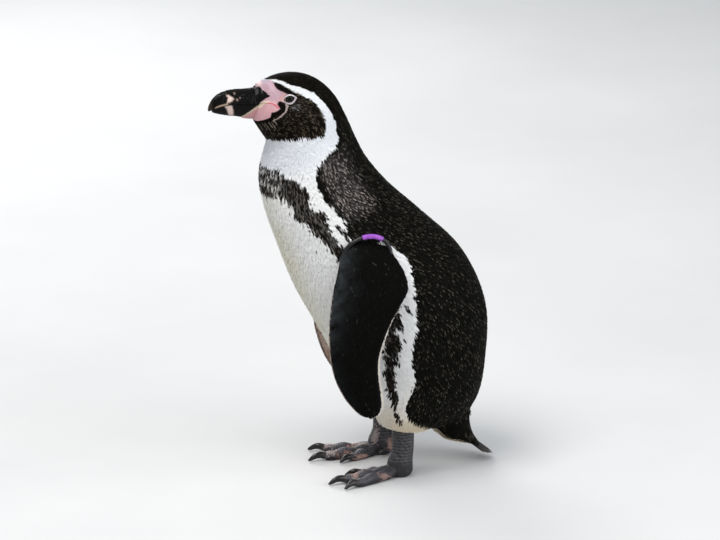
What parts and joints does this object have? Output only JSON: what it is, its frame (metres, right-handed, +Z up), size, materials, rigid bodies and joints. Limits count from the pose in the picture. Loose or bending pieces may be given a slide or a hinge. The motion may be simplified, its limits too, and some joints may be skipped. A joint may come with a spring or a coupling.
{
  "type": "humboldt penguin",
  "caption": "Life-size still model of a standing Humboldt penguin, leaning forward with drawn-in neck and hanging flippers, a ring band round the left one.",
  "frame": {"origin": "on the floor, under the middle of the outline", "axes": "+Z up, the bird faces -Y, its left side is +X"},
  "size_m": [0.1986, 0.3142, 0.441],
  "materials": {
    "band_plastic": "black flexible tube",
    "band_sleeve_plastic": "purple sleeve",
    "bill_horn": "black horn with a pale grey-pink bar",
    "breast_plumage": "dense short feathers, white with a mottled dark band in front, dark behind",
    "claw_horn": "smooth black horn",
    "eye": "wet dark brown eye",
    "eye_ring_skin": "pale fleshy ring of skin",
    "flipper_plumage": "scale-like black feathers with a faint sheen, pale underneath",
    "foot_skin": "scaly dark grey skin mottled with pink",
    "head_plumage": "very short feathers, black-brown with a white loop, bare pink skin round the bill",
    "neck_plumage": "dense short feathers, dark behind and white at the throat",
    "tail_quills": "stiff black quill feathers",
    "thigh_plumage": "dense short feathers, white to cream",
    "white_plumage": "dense short feathers, silky, white with a faint cream stain"
  },
  "bodies": {
    "root": {"band_sleeve": "band_sleeve_plastic", "band_tube": "band_plastic", "belly": "white_plumage", "bill_lower": "bill_horn", "bill_upper": "bill_horn", "breast": "breast_plumage", "claw_l_hind": "claw_horn", "claw_l_inner": "claw_horn", "claw_l_middle": "claw_horn", "claw_l_outer": "claw_horn", "claw_r_hind": "claw_horn", "claw_r_inner": "claw_horn", "claw_r_middle": "claw_horn", "claw_r_outer": "claw_horn", "eye_l": "eye", "eye_r": "eye", "flipper_l": "flipper_plumage", "flipper_r": "flipper_plumage", "foot_l": "foot_skin", "foot_r": "foot_skin", "head": "head_plumage", "leg_l": "thigh_plumage", "leg_r": "thigh_plumage", "lid_l": "eye_ring_skin", "lid_r": "eye_ring_skin", "neck": "neck_plumage", "tail": "tail_quills"}
  },
  "joints": []
}
